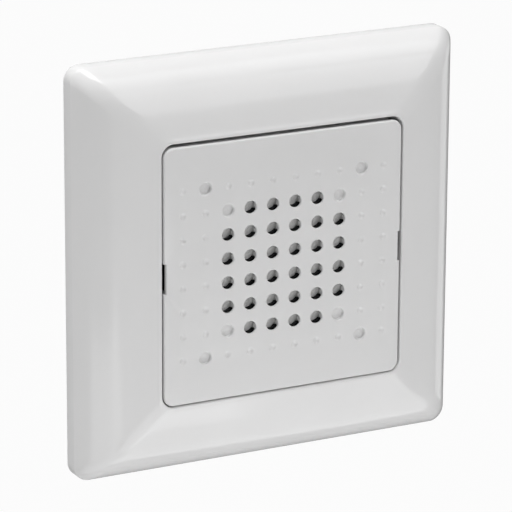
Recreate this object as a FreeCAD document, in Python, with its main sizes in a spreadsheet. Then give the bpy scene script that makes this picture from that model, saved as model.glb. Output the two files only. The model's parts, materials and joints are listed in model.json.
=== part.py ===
import FreeCAD, Part
import math
import os
import re

import Sketcher
from FreeCAD import Placement, Rotation, Vector

# An electric buzzer for a flush wall box of 60 mm, in millimetres. The wall is the plane y = 0.
# X points right as seen from the front, Z points up, and Y points into the wall, so whatever
# stands in front of the wall has a negative y. A height is a distance in front of the wall, and
# a depth is a distance behind it.

# A value that starts with an equals sign is worked out from others, so that what fits into another
# piece, or seats on it, follows it with a named clearance.
SIZES = {
    # Cover frame
    "frame_side": "80",
    "frame_corner": "3",
    "frame_edge": "3.1",
    "frame_wall": "2",
    "frame_lip_drop": "0.25",
    "slope_share": "0.46",
    "slope_power": "6",
    "collar_wall": "1.5",
    "collar_foot": "4",
    "frame_leg_width": "4",
    "frame_leg_reach": "12",
    # Centre plate
    "face_height": "11.25",
    "plate_side": "50",
    "plate_corner": "2",
    "plate_gap": "0.35",
    "plate_web": "1",
    "plate_skirt": "1.2",
    "skirt_foot": "5.75",
    "plate_edge_round": "0.4",
    "plate_leg_width": "5",
    "plate_leg_reach": "11",
    "notch_width": "5.9",
    "notch_depth": "0.45",
    "leg_tip": "0.3",
    "leg_clearance": "0.1",
    # Grid of the centre plate
    "grid_pitch": "4.7",
    "hole_radius": "1.225",
    "hole_land": "0.35",
    "hole_flare": "40",
    "blind_radius": "1.175",
    "blind_depth": "0.7",
    "dimple_radius": "0.72",
    "dimple_depth": "0.22",
    "dimple_flare": "60",
    # Acoustic felt
    "felt_side": "32",
    "felt_thickness": "0.6",
    "felt_gap": "0.05",
    "felt_hole_radius": "1.35",
    # Sounding plate
    "sounding_inset": "0.5",
    "sounding_side": "=tray_side - 2 * sounding_inset",
    "sounding_thickness": "0.5",
    "sounding_screw_reach": "=tray_side / 2 - tray_post_inset",
    "sounding_screw_radius": "0.95",
    "sounding_screw_length": "6",
    "sounding_head_radius": "1.45",
    # Support ring
    "ring_clearance": "2.5",
    "ring_side": "=frame_side - 2 * frame_wall - 2 * ring_clearance",
    "ring_corner": "4",
    "ring_thickness": "1",
    "ring_ledge": "4.5",
    "ring_opening_radius": "=cup_radius - cup_wall - ring_ledge",
    "box_slot_spacing": "60",
    "box_slot_radius": "1.8",
    "box_slot_straight": "4.4",
    "lug_wall": "1",
    "lug_depth": "2.4",
    "lug_width": "2.4",
    # Front housing
    "tray_clearance": "1.8",
    "tray_side": "=plate_side - 2 * plate_skirt - 2 * tray_clearance",
    "tray_corner": "2",
    "tray_wall": "1.6",
    "tray_floor": "1.5",
    "tray_ledge": "1",
    "tray_opening_radius": "=ring_opening_radius - tray_ledge",
    "tray_post_radius": "2.4",
    "tray_post_inset": "3.5",
    # Rear housing
    "cup_radius": "22.5",
    "cup_wall": "1.5",
    "cup_depth": "21.6",
    "cup_floor": "1.6",
    "cup_boss_radius": "2.4",
    "cup_boss_inset": "1.2",
    "cup_boss_depth": "10",
    "housing_screw_reach": "=(cup_radius - cup_wall - cup_boss_inset) / sqrt(2)",
    "housing_screw_radius": "1.2",
    "housing_bore_depth": "8",
    "housing_screw_depth": "7",
    "housing_head_radius": "2.1",
    "housing_head_height": "1.2",
    "screw_clearance": "0.1",
    "thread_clearance": "0.05",
    # Magnet system
    "yoke_front": "1",
    "yoke_thickness": "1.5",
    "yoke_width": "16",
    "yoke_arm_height": "=adjuster_height - adjuster_nut_radius - adjuster_nut_gap - yoke_thickness",
    "yoke_foot_margin": "1",
    "yoke_foot": "=bobbin_side / 2 + yoke_foot_margin",
    "yoke_tab_width": "13",
    "yoke_tab_gap": "2",
    "yoke_tab_top": "=cup_radius - cup_wall - yoke_tab_gap",
    "core_radius": "3.5",
    "core_gap": "0.4",
    "core_bore_length": "7",
    "core_screw_radius": "1.9",
    "core_screw_length": "6",
    "core_head_radius": "3.5",
    "core_head_height": "1.8",
    "bobbin_front": "2.2",
    "bobbin_tube": "0.8",
    "bobbin_flange": "1.2",
    "bobbin_gap": "2",
    "bobbin_side": "=2 * (yoke_arm_height - bobbin_gap)",
    "bobbin_clearance": "0.1",
    "winding_inset": "0.7",
    "winding_radius": "=bobbin_side / 2 - winding_inset",
    # Armature
    "armature_width": "14",
    "armature_thickness": "1.2",
    "armature_low": "9.5",
    "armature_inset": "0.2",
    "armature_high": "=yoke_arm_height - armature_inset",
    "spring_thickness": "0.2",
    "spring_width": "10",
    "spring_low": "3",
    "striker_radius": "1.5",
    "striker_drop": "4",
    "striker_gap": "0.45",
    "rivet_inset": "3.8",
    "rivet_height": "=armature_high - rivet_inset",
    "rivet_reach": "3",
    "rivet_radius": "0.75",
    "rivet_head_radius": "1.3",
    "rivet_head_height": "0.5",
    "spring_screw_inset": "1.8",
    "spring_screw_height": "=yoke_tab_top - spring_screw_inset",
    "spring_screw_reach": "3.4",
    "spring_screw_radius": "0.9",
    "spring_head_radius": "1.4",
    "spring_head_height": "0.6",
    "adjuster_drop": "1.9",
    "adjuster_height": "=spring_screw_height - adjuster_drop",
    "adjuster_radius": "1.4",
    "adjuster_sink": "0.8",
    "adjuster_head_radius": "2.2",
    "adjuster_head_height": "1.8",
    "adjuster_nut_gap": "0.3",
    "adjuster_nut_radius": "2.5",
    "adjuster_nut_height": "1.8",
    # Terminals
    "block_width": "16",
    "block_front": "9",
    "block_top_gap": "1.5",
    "block_top": "=yoke_foot + block_top_gap",
    "block_bottom_gap": "2",
    "block_bottom": "=cup_radius - cup_wall - block_bottom_gap",
    "terminal_reach": "4.2",
    "clamp_width": "5",
    "clamp_height": "5.5",
    "clamp_length": "9",
    "clamp_rest": "0.9",
    "clamp_drop": "=block_bottom - clamp_rest - clamp_height / 2",
    "clamp_clearance": "0.05",
    "block_back_wall": "1.5",
    "wire_entry_radius": "1.3",
    "clamp_bore_radius": "1.4",
    "clamp_bore_length": "6.5",
    "terminal_screw_depth": "14",
    "terminal_screw_radius": "1.25",
    "terminal_head_radius": "2.1",
    "terminal_head_height": "1.1",
    "driver_hole_radius": "2.5",
    # Leads
    "lead_radius": "0.4",
    "lead_start": "=bobbin_front + bobbin_flange / 2",
    "lead_bend": "3.5",
    # Claws
    "claw_gap": "0.8",
    "claw_thickness": "1.2",
    "claw_reach": "=cup_radius + claw_gap + claw_thickness / 2",
    "claw_width": "9",
    "claw_start": "0.3",
    "claw_bridge": "2.2",
    "claw_length": "20",
    "claw_slot": "4",
    "claw_tooth": "1.4",
    "claw_tooth_thickness": "1.2",
    "claw_pivot_depth": "1.4",
    "claw_pivot_radius": "0.6",
    "claw_pivot_clearance": "0.08",
    "claw_play": "0.15",
    "claw_screw_gap": "1",
    "claw_screw_radius": "1.5",
    "claw_screw_reach": "=claw_reach + claw_thickness / 2 + claw_screw_gap + claw_screw_radius",
    "claw_screw_depth": "17",
    "claw_head_radius": "2.4",
    "claw_head_height": "1.6",
    "drive_slot_width": "0.6",
    "drive_slot_depth": "0.6",
    "small_slot_width": "0.3",
    "small_slot_depth": "0.25",
}

# Counts of the grid: its columns and rows, and the block of them that holds the sound holes.
COLUMNS = range(1, 11)
ROWS = range(1, 9)
HOLE_COLUMNS = range(3, 9)
HOLE_ROWS = range(2, 8)
OUTER_BLIND_COLUMNS = (2, 9)
OUTER_BLIND_ROWS = (1, 8)

# Where the sections of the frame's slope lie, from its opening (0) to its outer edge (1).
SLOPE_STEPS = (1.0, 0.97, 0.9, 0.8, 0.66, 0.48, 0.25, 0.0)

# Half sides and levels that several pieces share.
FRAME_HALF = "frame_side / 2"
PLATE_HALF = "plate_side / 2"
OPENING_HALF = "(plate_side / 2 + plate_gap)"
COLLAR_HALF = "(plate_side / 2 + plate_gap + collar_wall)"
SKIRT_INNER = "(plate_side / 2 - plate_skirt)"
FRAME_TOP = "(face_height - frame_lip_drop)"
WEB_BACK = "(face_height - plate_web)"
FELT_BACK = "(face_height - plate_web - felt_thickness)"
SOUNDING_FRONT = "(face_height - plate_web - felt_thickness - felt_gap)"
SOUNDING_BACK = "(face_height - plate_web - felt_thickness - felt_gap - sounding_thickness)"
TRAY_FLOOR_FRONT = "(ring_thickness + tray_floor)"
CUP_FLOOR = "(cup_depth - cup_floor)"
YOKE_BACK = "(cup_depth - cup_floor - yoke_thickness)"
ARM_TOP = "(yoke_arm_height + yoke_thickness)"
SPRING_FRONT = "(yoke_front - spring_thickness)"
ARMATURE_FRONT = "(yoke_front - spring_thickness - armature_thickness)"
SIDES = {"left": "-1", "right": "1"}

doc = FreeCAD.newDocument("buzzer")
sheet = doc.addObject("Spreadsheet::Sheet", "sizes")
for row, alias in enumerate(SIZES, start=1):
    sheet.setAlias(f"A{row}", alias)
for row, content in enumerate(SIZES.values(), start=1):
    sheet.set(f"A{row}", content)
doc.recompute()
nodes = []


def tied(text):
    """The same expression with each size read from the sheet."""
    return re.sub(r"[a-z][a-z_]*\b(?!\()", lambda size: "sizes." + size.group(), str(text))


def value(text):
    """The number that an expression on the sheet gives now."""
    return float(sheet.evalExpression(tied(text)))


def place(piece, x="0", y="0", z="0", rotation=None):
    """Puts a piece at a point tied to the sheet."""
    piece.Placement = Placement(Vector(0, 0, 0), rotation or Rotation())
    for axis, text in zip("xyz", (x, y, z)):
        piece.setExpression("Placement.Base." + axis, tied(text))
    return piece


def box(name, x, y, z):
    """A block between two values on each axis."""
    piece = doc.addObject("Part::Box", name)
    for side, (low, high) in zip(("Length", "Width", "Height"), (x, y, z)):
        piece.setExpression(side, tied(f"({high}) - ({low})"))
    return place(piece, x[0], y[0], z[0])


def centred(middle, size):
    """The two values of a stretch round its middle."""
    return f"({middle}) - ({size}) / 2", f"({middle}) + ({size}) / 2"


def on_side(sign, low, high):
    """The two values of a stretch on the left or the right of the middle."""
    return (low, high) if sign == "1" else (f"-({high})", f"-({low})")


AXES = {
    "x": Rotation(Vector(0, 1, 0), 90),
    "y": Rotation(Vector(1, 0, 0), -90),
    "z": Rotation(),
}


def rod(name, axis, radius, start, end, x="0", y="0", z="0"):
    """A cylinder along an axis, from one value to another."""
    piece = doc.addObject("Part::Cylinder", name)
    piece.setExpression("Radius", tied(radius))
    piece.setExpression("Height", tied(f"({end}) - ({start})"))
    at = {"x": x, "y": y, "z": z, axis: start}
    return place(piece, at["x"], at["y"], at["z"], AXES[axis])


def cone(name, radius_at_start, radius_at_end, start, end, x="0", z="0"):
    """A cone along Y, from one value to another."""
    piece = doc.addObject("Part::Cone", name)
    piece.setExpression("Radius1", tied(radius_at_start))
    piece.setExpression("Radius2", tied(radius_at_end))
    piece.setExpression("Height", tied(f"({end}) - ({start})"))
    return place(piece, x, start, z, AXES["y"])


def joined(name, *pieces):
    """Several pieces made one."""
    piece = doc.addObject("Part::MultiFuse", name)
    piece.Shapes = list(pieces)
    piece.Refine = True
    return piece


def cut(name, base, *tools):
    """A piece with others taken out of it."""
    piece = doc.addObject("Part::Cut", name)
    piece.Base = base
    piece.Tool = tools[0] if len(tools) == 1 else joined(name + "_tools", *tools)
    piece.Refine = True
    return piece


def group(name, pieces):
    """Like pieces that share a node, each a solid of its own."""
    piece = doc.addObject("Part::Compound", name)
    piece.Links = list(pieces)
    return piece


def node(piece, label):
    """Names a finished sub-part."""
    piece.Label = label
    nodes.append(piece)
    return piece


def sketch_at(body, name, height):
    """A sketch parallel to the wall at a height in front of it, x to the right and y up."""
    sketch = body.newObject("Sketcher::SketchObject", name)
    plane = next(item for item in body.Origin.OriginFeatures if item.Role == "XZ_Plane")
    sketch.AttachmentSupport = [(plane, "")]
    sketch.MapMode = "FlatFace"
    sketch.setExpression("AttachmentOffset.Base.z", tied(height))
    return sketch


def held(sketch, text, *constraint):
    """A sketch's constraint whose size is tied to the sheet."""
    index = sketch.addConstraint(Sketcher.Constraint(*constraint, value(text)))
    sketch.setExpression(f"Constraints[{index}]", tied(text))


def pin(sketch, curve, vertex, x, y):
    """Ties a vertex of a curve to a point of the sketch."""
    if x is not None:
        held(sketch, x, "DistanceX", -1, 1, curve, vertex)
    if y is not None:
        held(sketch, y, "DistanceY", -1, 1, curve, vertex)


def add_circle(sketch, radius, x="0", y="0"):
    """A circle of a sketch."""
    middle = Vector(value(x), value(y), 0)
    curve = sketch.addGeometry(Part.Circle(middle, Vector(0, 0, 1), value(radius)), False)
    held(sketch, radius, "Radius", curve)
    pin(sketch, curve, 3, x, y)


def add_rectangle(sketch, x, y):
    """A rectangle of a sketch between two values on each axis."""
    corners = [(x[0], y[0]), (x[1], y[0]), (x[1], y[1]), (x[0], y[1])]
    points = [Vector(value(a), value(b), 0) for a, b in corners]
    first = sketch.GeometryCount
    for index in range(4):
        sketch.addGeometry(Part.LineSegment(points[index], points[(index + 1) % 4]), False)
    for index in range(4):
        following = first + (index + 1) % 4
        sketch.addConstraint(Sketcher.Constraint("Coincident", first + index, 2, following, 1))
        pin(sketch, first + index, 1, *corners[index])


def add_rounded_square(sketch, half, radius):
    """A square of a sketch about its origin, with round corners."""
    reach, bend = value(half), value(radius)
    inner = reach - bend
    first = sketch.GeometryCount
    turns = [Rotation(Vector(0, 0, 1), 90 * index) for index in range(4)]
    for turn in turns:
        start = turn.multVec(Vector(-inner, -reach, 0))
        end = turn.multVec(Vector(inner, -reach, 0))
        sketch.addGeometry(Part.LineSegment(start, end), False)
    for index, turn in enumerate(turns):
        middle = turn.multVec(Vector(inner, -inner, 0))
        circle = Part.Circle(middle, Vector(0, 0, 1), bend)
        low = (index - 1) * 90
        arc = Part.ArcOfCircle(circle, math.radians(low), math.radians(low + 90))
        sketch.addGeometry(arc, False)
    for index in range(4):
        line, arc, following = first + index, first + 4 + index, first + (index + 1) % 4
        sketch.addConstraint(Sketcher.Constraint("Tangent", line, 2, arc, 1))
        sketch.addConstraint(Sketcher.Constraint("Tangent", arc, 2, following, 1))
        sketch.addConstraint(Sketcher.Constraint("Vertical" if index % 2 else "Horizontal", line))
    for arc in range(first + 5, first + 8):
        sketch.addConstraint(Sketcher.Constraint("Equal", first + 4, arc))
    held(sketch, radius, "Radius", first + 4)
    pin(sketch, first, 1, None, f"-({half})")
    pin(sketch, first + 1, 1, half, None)
    pin(sketch, first + 2, 1, None, half)
    pin(sketch, first + 3, 1, f"-({half})", None)


def rounded_sketch(body, name, height, half, radius):
    """A sketch of one rounded square."""
    sketch = sketch_at(body, name, height)
    add_rounded_square(sketch, half, radius)
    return sketch


def pad(body, name, sketch, length, backward=False):
    """Adds a sketch's outline towards the front, or backward into the wall."""
    feature = body.newObject("PartDesign::Pad", name)
    feature.Profile = sketch
    feature.setExpression("Length", tied(length))
    feature.Reversed = backward
    return feature


def pocket(body, name, sketch, length, forward=False, taper="0"):
    """Takes a sketch's outline out backward into the wall, or towards the front. A taper widens
    it on its way."""
    feature = body.newObject("PartDesign::Pocket", name)
    feature.Profile = sketch
    feature.setExpression("Length", tied(length))
    feature.setExpression("TaperAngle", tied(taper))
    feature.Reversed = forward
    return feature


def loft(body, name, kind, sketches):
    """A smooth solid through sketches, added or taken out."""
    feature = body.newObject("PartDesign::" + kind, name)
    feature.Profile = sketches[0]
    feature.Sections = sketches[1:]
    return feature


# Cover frame: a hollow square whose four sides slope up to the opening in a convex curve, with a
# collar round the opening and legs that stand in windows of the support ring.

def slope(step, rise):
    """How high a section of the slope lies above the frame's outer edge."""
    curve = f"(1 - slope_share * {step} - (1 - slope_share) * {step} ^ slope_power)"
    return f"(frame_edge + ({rise}) * {curve})"


def slope_sections(body, name, inner, outer, rise, inner_corner, outer_corner):
    """The sections of a slope, from its outer edge to the opening."""
    sections = []
    for index, step in enumerate(SLOPE_STEPS):
        half = f"({inner}) + (({outer}) - ({inner})) * {step}"
        corner = f"({inner_corner}) + (({outer_corner}) - ({inner_corner})) * {step}"
        section = rounded_sketch(body, f"{name}{index}", slope(step, rise), half, corner)
        sections.append(section)
    return sections


LEG_SIDES = ("-1", "1")


def make_cover_frame():
    body = doc.addObject("PartDesign::Body", "frame_body")
    rise = f"{FRAME_TOP} - frame_edge"
    edge = rounded_sketch(body, "edge_outline", "0", FRAME_HALF, "frame_corner")
    pad(body, "edge", edge, "frame_edge")
    opening_corner = "plate_corner + plate_gap"
    outer = slope_sections(body, "slope", OPENING_HALF, FRAME_HALF, rise, opening_corner, "frame_corner")
    loft(body, "sloping_sides", "AdditiveLoft", outer)
    inside = f"{FRAME_HALF} - frame_wall"
    hollow = rounded_sketch(body, "hollow_outline", "0", inside, "frame_corner - frame_wall / 2")
    pocket(body, "hollow_edge", hollow, "frame_edge", forward=True)
    inner = slope_sections(
        body, "hollow", OPENING_HALF, inside, f"{rise} - frame_wall", opening_corner,
        "frame_corner - frame_wall / 2",
    )
    loft(body, "hollow_slope", "SubtractiveLoft", inner)
    collar_corner = "plate_corner + collar_wall"
    collar = rounded_sketch(body, "collar_outline", "collar_foot", COLLAR_HALF, collar_corner)
    pad(body, "collar", collar, f"{FRAME_TOP} - frame_wall - collar_foot")
    legs = sketch_at(body, "leg_outline", "leg_tip")
    for x in LEG_SIDES:
        for z in LEG_SIDES:
            across = centred(f"{x} * frame_leg_reach", "frame_leg_width")
            up = centred(f"{z} * ({OPENING_HALF} + collar_wall / 2)", "collar_wall")
            add_rectangle(legs, across, up)
    opening = rounded_sketch(body, "opening_outline", FRAME_TOP, OPENING_HALF, opening_corner)
    pocket(body, "opening", opening, f"{FRAME_TOP}")
    pad(body, "legs", legs, "collar_foot - leg_tip")
    return node(body, "cover_frame")


# Centre plate: a thin web with a skirt, the grid of holes, recesses and dimples, a pry notch at
# the middle of its left and right edges with a gap in the skirt behind it, and legs that stand in
# windows of the support ring.

def grid_point(column, row):
    """Where a point of the grid lies, columns from the left and rows from the top."""
    x = f"{column - (COLUMNS[0] + COLUMNS[-1]) / 2} * grid_pitch"
    z = f"{(ROWS[0] + ROWS[-1]) / 2 - row} * grid_pitch"
    return x, z


def is_block_corner(column, row):
    return column in (HOLE_COLUMNS[0], HOLE_COLUMNS[-1]) and row in (HOLE_ROWS[0], HOLE_ROWS[-1])


def is_outer_blind(column, row):
    return column in OUTER_BLIND_COLUMNS and row in OUTER_BLIND_ROWS


holes, blinds, dimples = [], [], []
for column in COLUMNS:
    for row in ROWS:
        if is_block_corner(column, row) or is_outer_blind(column, row):
            blinds.append(grid_point(column, row))
        elif column in HOLE_COLUMNS and row in HOLE_ROWS:
            holes.append(grid_point(column, row))
        else:
            dimples.append(grid_point(column, row))


def grid_sketch(body, name, height, radius, points):
    """A sketch of equal circles on points of the grid."""
    sketch = sketch_at(body, name, height)
    for x, z in points:
        add_circle(sketch, radius, x, z)
    return sketch


def make_centre_plate():
    body = doc.addObject("PartDesign::Body", "plate_body")
    outline = rounded_sketch(body, "plate_outline", "skirt_foot", PLATE_HALF, "plate_corner")
    block = pad(body, "plate", outline, "face_height - skirt_foot")
    doc.recompute()
    front = -value("face_height")
    rim = [
        f"Edge{index}" for index, edge in enumerate(block.Shape.Edges, start=1)
        if abs(edge.BoundBox.YMin - front) < 1e-6 and abs(edge.BoundBox.YMax - front) < 1e-6
    ]
    rounding = body.newObject("PartDesign::Fillet", "rim_rounding")
    rounding.Base = (block, rim)
    rounding.setExpression("Radius", tied("plate_edge_round"))
    inside = rounded_sketch(body, "skirt_outline", "skirt_foot", SKIRT_INNER, "plate_corner / 2")
    pocket(body, "skirt_hollow", inside, f"{WEB_BACK} - skirt_foot", forward=True)
    notches = sketch_at(body, "notch_outline", "face_height")
    skirt_gaps = sketch_at(body, "skirt_gap_outline", WEB_BACK)
    for sign in LEG_SIDES:
        across = on_side(sign, f"{PLATE_HALF} - notch_depth", PLATE_HALF)
        add_rectangle(notches, across, centred("0", "notch_width"))
        across = on_side(sign, SKIRT_INNER, PLATE_HALF)
        add_rectangle(skirt_gaps, across, centred("0", "notch_width"))
    pocket(body, "notches", notches, "plate_web")
    pocket(body, "skirt_gaps", skirt_gaps, f"{WEB_BACK} - skirt_foot")
    legs = sketch_at(body, "leg_outline", "leg_tip")
    for x in LEG_SIDES:
        for z in LEG_SIDES:
            across = centred(f"{x} * ({PLATE_HALF} - plate_skirt / 2)", "plate_skirt")
            add_rectangle(legs, across, centred(f"{z} * plate_leg_reach", "plate_leg_width"))
    pad(body, "legs", legs, f"{WEB_BACK} - leg_tip")
    hole_sketch = grid_sketch(body, "hole_outline", "face_height", "hole_radius", holes)
    pocket(body, "sound_holes", hole_sketch, "plate_web")
    flare_sketch = grid_sketch(body, "flare_outline", "face_height - hole_land", "hole_radius", holes)
    pocket(body, "hole_flares", flare_sketch, "plate_web - hole_land", taper="hole_flare")
    blind_sketch = grid_sketch(body, "blind_outline", "face_height", "blind_radius", blinds)
    pocket(body, "blind_recesses", blind_sketch, "blind_depth")
    floor_radius = "dimple_radius - dimple_depth * tan(dimple_flare)"
    dimple_sketch = grid_sketch(body, "dimple_outline", "face_height - dimple_depth", floor_radius, dimples)
    pocket(body, "dimples", dimple_sketch, "dimple_depth", forward=True, taper="dimple_flare")
    return node(body, "centre_plate")


# Acoustic felt: a black sheet behind the web of the centre plate, with a hole behind each hole.

def make_sound_felt():
    body = doc.addObject("PartDesign::Body", "felt_body")
    outline = rounded_sketch(body, "felt_outline", FELT_BACK, "felt_side / 2", "plate_corner")
    pad(body, "felt", outline, "felt_thickness")
    openings = grid_sketch(body, "felt_holes_outline", WEB_BACK, "felt_hole_radius", holes)
    pocket(body, "felt_holes", openings, "felt_thickness")
    return node(body, "sound_felt")


# Sounding plate: the steel sheet on the rim of the tray that the striker beats.

SOUNDING_SCREWS = (
    ("sounding_screw_reach", "0"),
    ("-sounding_screw_reach", "0"),
    ("0", "sounding_screw_reach"),
    ("0", "-sounding_screw_reach"),
)
SINK_LENGTH = "(sounding_head_radius - sounding_screw_radius)"


def make_sounding_plate():
    sheet_x = centred("0", "sounding_side")
    plate = box("sounding_sheet", sheet_x, (f"-{SOUNDING_FRONT}", f"-{SOUNDING_BACK}"), sheet_x)
    tools = []
    for index, (x, z) in enumerate(SOUNDING_SCREWS):
        radius = "sounding_screw_radius + screw_clearance"
        wide = "sounding_head_radius + screw_clearance"
        front, back = f"-{SOUNDING_FRONT}", f"-{SOUNDING_BACK}"
        tools.append(rod(f"sheet_hole{index}", "y", radius, front, back, x=x, z=z))
        tools.append(cone(f"sheet_sink{index}", wide, radius, front, f"{front} + {SINK_LENGTH}", x, z))
    node(cut("sounding_plate", plate, *tools), "sounding_plate")
    screws = []
    for index, (x, z) in enumerate(SOUNDING_SCREWS):
        sunk_to = f"-{SOUNDING_FRONT} + {SINK_LENGTH}"
        end = f"-{SOUNDING_FRONT} + sounding_screw_length"
        head = cone(f"sink_head{index}", "sounding_head_radius", "sounding_screw_radius",
                    f"-{SOUNDING_FRONT}", sunk_to, x, z)
        shank = rod(f"sink_shank{index}", "y", "sounding_screw_radius", sunk_to, end, x=x, z=z)
        slot = box(
            f"sink_slot{index}", centred(x, "2 * sounding_head_radius"),
            (f"-{SOUNDING_FRONT}", f"-{SOUNDING_FRONT} + small_slot_depth"),
            centred(z, "small_slot_width"),
        )
        screws.append(cut(f"sounding_screw{index}", joined(f"sink_screw{index}", head, shank), slot))
    node(group("sounding_plate_screws", screws), "sounding_plate_screws")


# Support ring: the steel plate on the wall, with slots for the screws of the wall box, windows
# for the legs, and lugs behind it that carry the claws.

HOUSING_SCREWS = [
    (f"{x} * housing_screw_reach", f"{z} * housing_screw_reach") for x in LEG_SIDES for z in LEG_SIDES
]
LUG_INNER = "(claw_width / 2 + claw_play)"


def make_support_ring():
    body = doc.addObject("PartDesign::Body", "ring_body")
    outline = rounded_sketch(body, "ring_outline", "0", "ring_side / 2", "ring_corner")
    pad(body, "ring", outline, "ring_thickness")
    cuts = sketch_at(body, "ring_cuts", "ring_thickness")
    add_circle(cuts, "ring_opening_radius")
    for side in LEG_SIDES:
        add_circle(cuts, "claw_screw_radius + screw_clearance", f"{side} * claw_screw_reach", "0")
    for x, z in HOUSING_SCREWS:
        add_circle(cuts, "housing_screw_radius + screw_clearance", x, z)
    for x in LEG_SIDES:
        for z in LEG_SIDES:
            middle = f"{z} * ({OPENING_HALF} + collar_wall / 2)"
            across = centred(f"{x} * frame_leg_reach", "frame_leg_width + 2 * leg_clearance")
            add_rectangle(cuts, across, centred(middle, "collar_wall + 2 * leg_clearance"))
            middle = f"{x} * ({PLATE_HALF} - plate_skirt / 2)"
            up = centred(f"{z} * plate_leg_reach", "plate_leg_width + 2 * leg_clearance")
            add_rectangle(cuts, centred(middle, "plate_skirt + 2 * leg_clearance"), up)
    pocket(body, "ring_openings", cuts, "ring_thickness")
    slots = sketch_at(body, "slot_outline", "ring_thickness")
    for side in LEG_SIDES:
        middle = f"{side} * box_slot_spacing / 2"
        add_rectangle(slots, centred("0", "2 * box_slot_radius"), centred(middle, "box_slot_straight"))
    pocket(body, "slots", slots, "ring_thickness")
    lugs = sketch_at(body, "lug_outline", "0")
    for x in LEG_SIDES:
        for z in LEG_SIDES:
            across = centred(f"{x} * claw_reach", "lug_width")
            add_rectangle(lugs, across, centred(f"{z} * ({LUG_INNER} + lug_wall / 2)", "lug_wall"))
    pad(body, "lugs", lugs, "lug_depth", backward=True)
    bores = []
    for index, end in enumerate(LEG_SIDES):
        for other, side in enumerate(LEG_SIDES):
            bores.append(rod(
                f"slot_end{index}{other}", "y", "box_slot_radius", "-ring_thickness", "0",
                z=f"{side} * box_slot_spacing / 2 + {end} * box_slot_straight / 2",
            ))
    for side, sign in SIDES.items():
        reach = f"{LUG_INNER} + lug_wall"
        bores.append(rod(
            f"{side}_pivot_hole", "z", "claw_pivot_radius + claw_pivot_clearance", f"-({reach})", reach,
            x=f"{sign} * claw_reach", y="claw_pivot_depth",
        ))
    return node(cut("ring", body, *bores), "support_ring")


# Front housing: the tray in front of the ring that carries the sounding plate.

def make_front_housing():
    body = doc.addObject("PartDesign::Body", "tray_body")
    outline = rounded_sketch(body, "tray_outline", "ring_thickness", "tray_side / 2", "tray_corner")
    pad(body, "tray", outline, f"{SOUNDING_BACK} - ring_thickness")
    inner_half = "tray_side / 2 - tray_wall"
    inside = rounded_sketch(body, "tray_inside", TRAY_FLOOR_FRONT, inner_half, "tray_corner / 2")
    pocket(body, "tray_hollow", inside, f"{SOUNDING_BACK} - {TRAY_FLOOR_FRONT}", forward=True)
    posts = sketch_at(body, "post_outline", TRAY_FLOOR_FRONT)
    for x, z in SOUNDING_SCREWS:
        add_circle(posts, "tray_post_radius", x, z)
    pad(body, "posts", posts, f"{SOUNDING_BACK} - {TRAY_FLOOR_FRONT}")
    opening = sketch_at(body, "tray_opening", TRAY_FLOOR_FRONT)
    add_circle(opening, "tray_opening_radius")
    for x, z in HOUSING_SCREWS:
        add_circle(opening, "housing_screw_radius + screw_clearance", x, z)
    pocket(body, "floor_openings", opening, "tray_floor")
    bores = sketch_at(body, "post_bores", SOUNDING_BACK)
    for x, z in SOUNDING_SCREWS:
        add_circle(bores, "sounding_screw_radius + thread_clearance", x, z)
    pocket(body, "bores", bores, "sounding_screw_length")
    return node(body, "front_housing")


# Rear housing: the cup behind the ring, with bosses for the housing screws, entries for the
# wires at the back, and holes through which a screwdriver reaches the screws.

def make_rear_housing():
    outer = rod("cup_outside", "y", "cup_radius", "0", "cup_depth")
    inside = rod("cup_inside", "y", "cup_radius - cup_wall", "0", CUP_FLOOR)
    shell = cut("cup_shell", outer, inside)
    bosses = [
        rod(f"cup_boss{index}", "y", "cup_boss_radius", "0", "cup_boss_depth", x=x, z=z)
        for index, (x, z) in enumerate(HOUSING_SCREWS)
    ]
    whole = joined("cup_whole", shell, *bosses)
    bore = "housing_screw_radius + thread_clearance"
    tools = [
        rod(f"cup_bore{index}", "y", bore, "0", "housing_bore_depth", x=x, z=z)
        for index, (x, z) in enumerate(HOUSING_SCREWS)
    ]
    tools.append(rod("core_screw_hole", "y", "core_screw_radius + screw_clearance", CUP_FLOOR, "cup_depth"))
    tools.append(rod(
        "adjuster_hole", "y", "adjuster_head_radius + screw_clearance", CUP_FLOOR, "cup_depth",
        z="adjuster_height",
    ))
    for side, sign in SIDES.items():
        x = f"{sign} * terminal_reach"
        tools.append(rod(
            f"{side}_entry", "y", "wire_entry_radius", CUP_FLOOR, "cup_depth", x=x, z="-clamp_drop",
        ))
        tools.append(rod(
            f"{side}_driver_hole", "z", "driver_hole_radius", "-cup_radius", "-block_bottom",
            x=x, y="terminal_screw_depth",
        ))
    return node(cut("cup", whole, *tools), "rear_housing")


def make_housing_screws():
    screws = []
    seat = f"-{TRAY_FLOOR_FRONT}"
    top = f"{seat} - housing_head_height"
    for index, (x, z) in enumerate(HOUSING_SCREWS):
        head = rod(f"housing_head{index}", "y", "housing_head_radius", top, seat, x=x, z=z)
        shank = rod(
            f"housing_shank{index}", "y", "housing_screw_radius", seat, "housing_screw_depth", x=x, z=z,
        )
        slot = box(
            f"housing_slot{index}", centred(x, "2 * housing_head_radius"),
            (top, f"{top} + drive_slot_depth"), centred(z, "drive_slot_width"),
        )
        screws.append(cut(f"housing_screw{index}", joined(f"housing_whole{index}", head, shank), slot))
    return node(group("housing_screws", screws), "housing_screws")


# Magnet system: a bent yoke on the cup's floor, its core, and the coil on its bobbin.

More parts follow.
